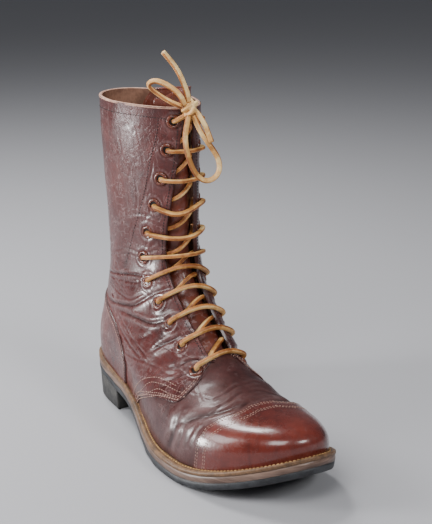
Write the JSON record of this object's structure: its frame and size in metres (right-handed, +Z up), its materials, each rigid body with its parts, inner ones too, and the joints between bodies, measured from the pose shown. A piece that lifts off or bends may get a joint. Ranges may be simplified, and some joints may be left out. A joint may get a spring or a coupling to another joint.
{
  "type": "combat boot",
  "caption": "Tall lace-up leather boot for the right foot, with a stitched toe cap, a heel counter, a welted sole, a low heel and a lace tied in a bow.",
  "frame": {"origin": "middle of the heel's flat underside, on the floor", "axes": "+Z up; the toe points to -Y; the lateral (outer) side of the right boot faces -X"},
  "size_m": [0.1132, 0.3067, 0.3196],
  "materials": {
    "upper_leather": "polished, creased, dark red brown",
    "tongue_leather": "polished, red brown",
    "welt_leather": "dull, ochre, stitched",
    "midsole_leather": "dull, scratched",
    "insole_leather": "dull",
    "rubber": "matt, worn",
    "eyelet": "red-brown enamel, worn",
    "lace": "rawhide, tan"
  },
  "bodies": {
    "root": {"outsole": "rubber", "heel": "rubber", "midsole": "midsole_leather", "welt": "welt_leather", "insole": "insole_leather", "upper": "upper_leather", "toe_cap": "upper_leather", "counter": "upper_leather", "tongue": "tongue_leather", "lace_run": "lace", "lace_rise_lateral": "lace", "lace_knot": "lace", "lace_loop_upper": "lace", "lace_loop_lower": "lace", "lace_end_short": "lace", "lace_end_long": "lace", "eyelet_lateral_01": "eyelet", "eyelet_medial_01": "eyelet", "eyelet_lateral_02": "eyelet", "eyelet_medial_02": "eyelet", "eyelet_lateral_03": "eyelet", "eyelet_medial_03": "eyelet", "eyelet_lateral_04": "eyelet", "eyelet_medial_04": "eyelet", "eyelet_lateral_05": "eyelet", "eyelet_medial_05": "eyelet", "eyelet_lateral_06": "eyelet", "eyelet_medial_06": "eyelet", "eyelet_lateral_07": "eyelet", "eyelet_medial_07": "eyelet", "eyelet_lateral_08": "eyelet", "eyelet_medial_08": "eyelet", "eyelet_lateral_09": "eyelet", "eyelet_medial_09": "eyelet", "eyelet_lateral_10": "eyelet", "eyelet_medial_10": "eyelet", "eyelet_lateral_11": "eyelet", "eyelet_medial_11": "eyelet"}
  },
  "joints": []
}
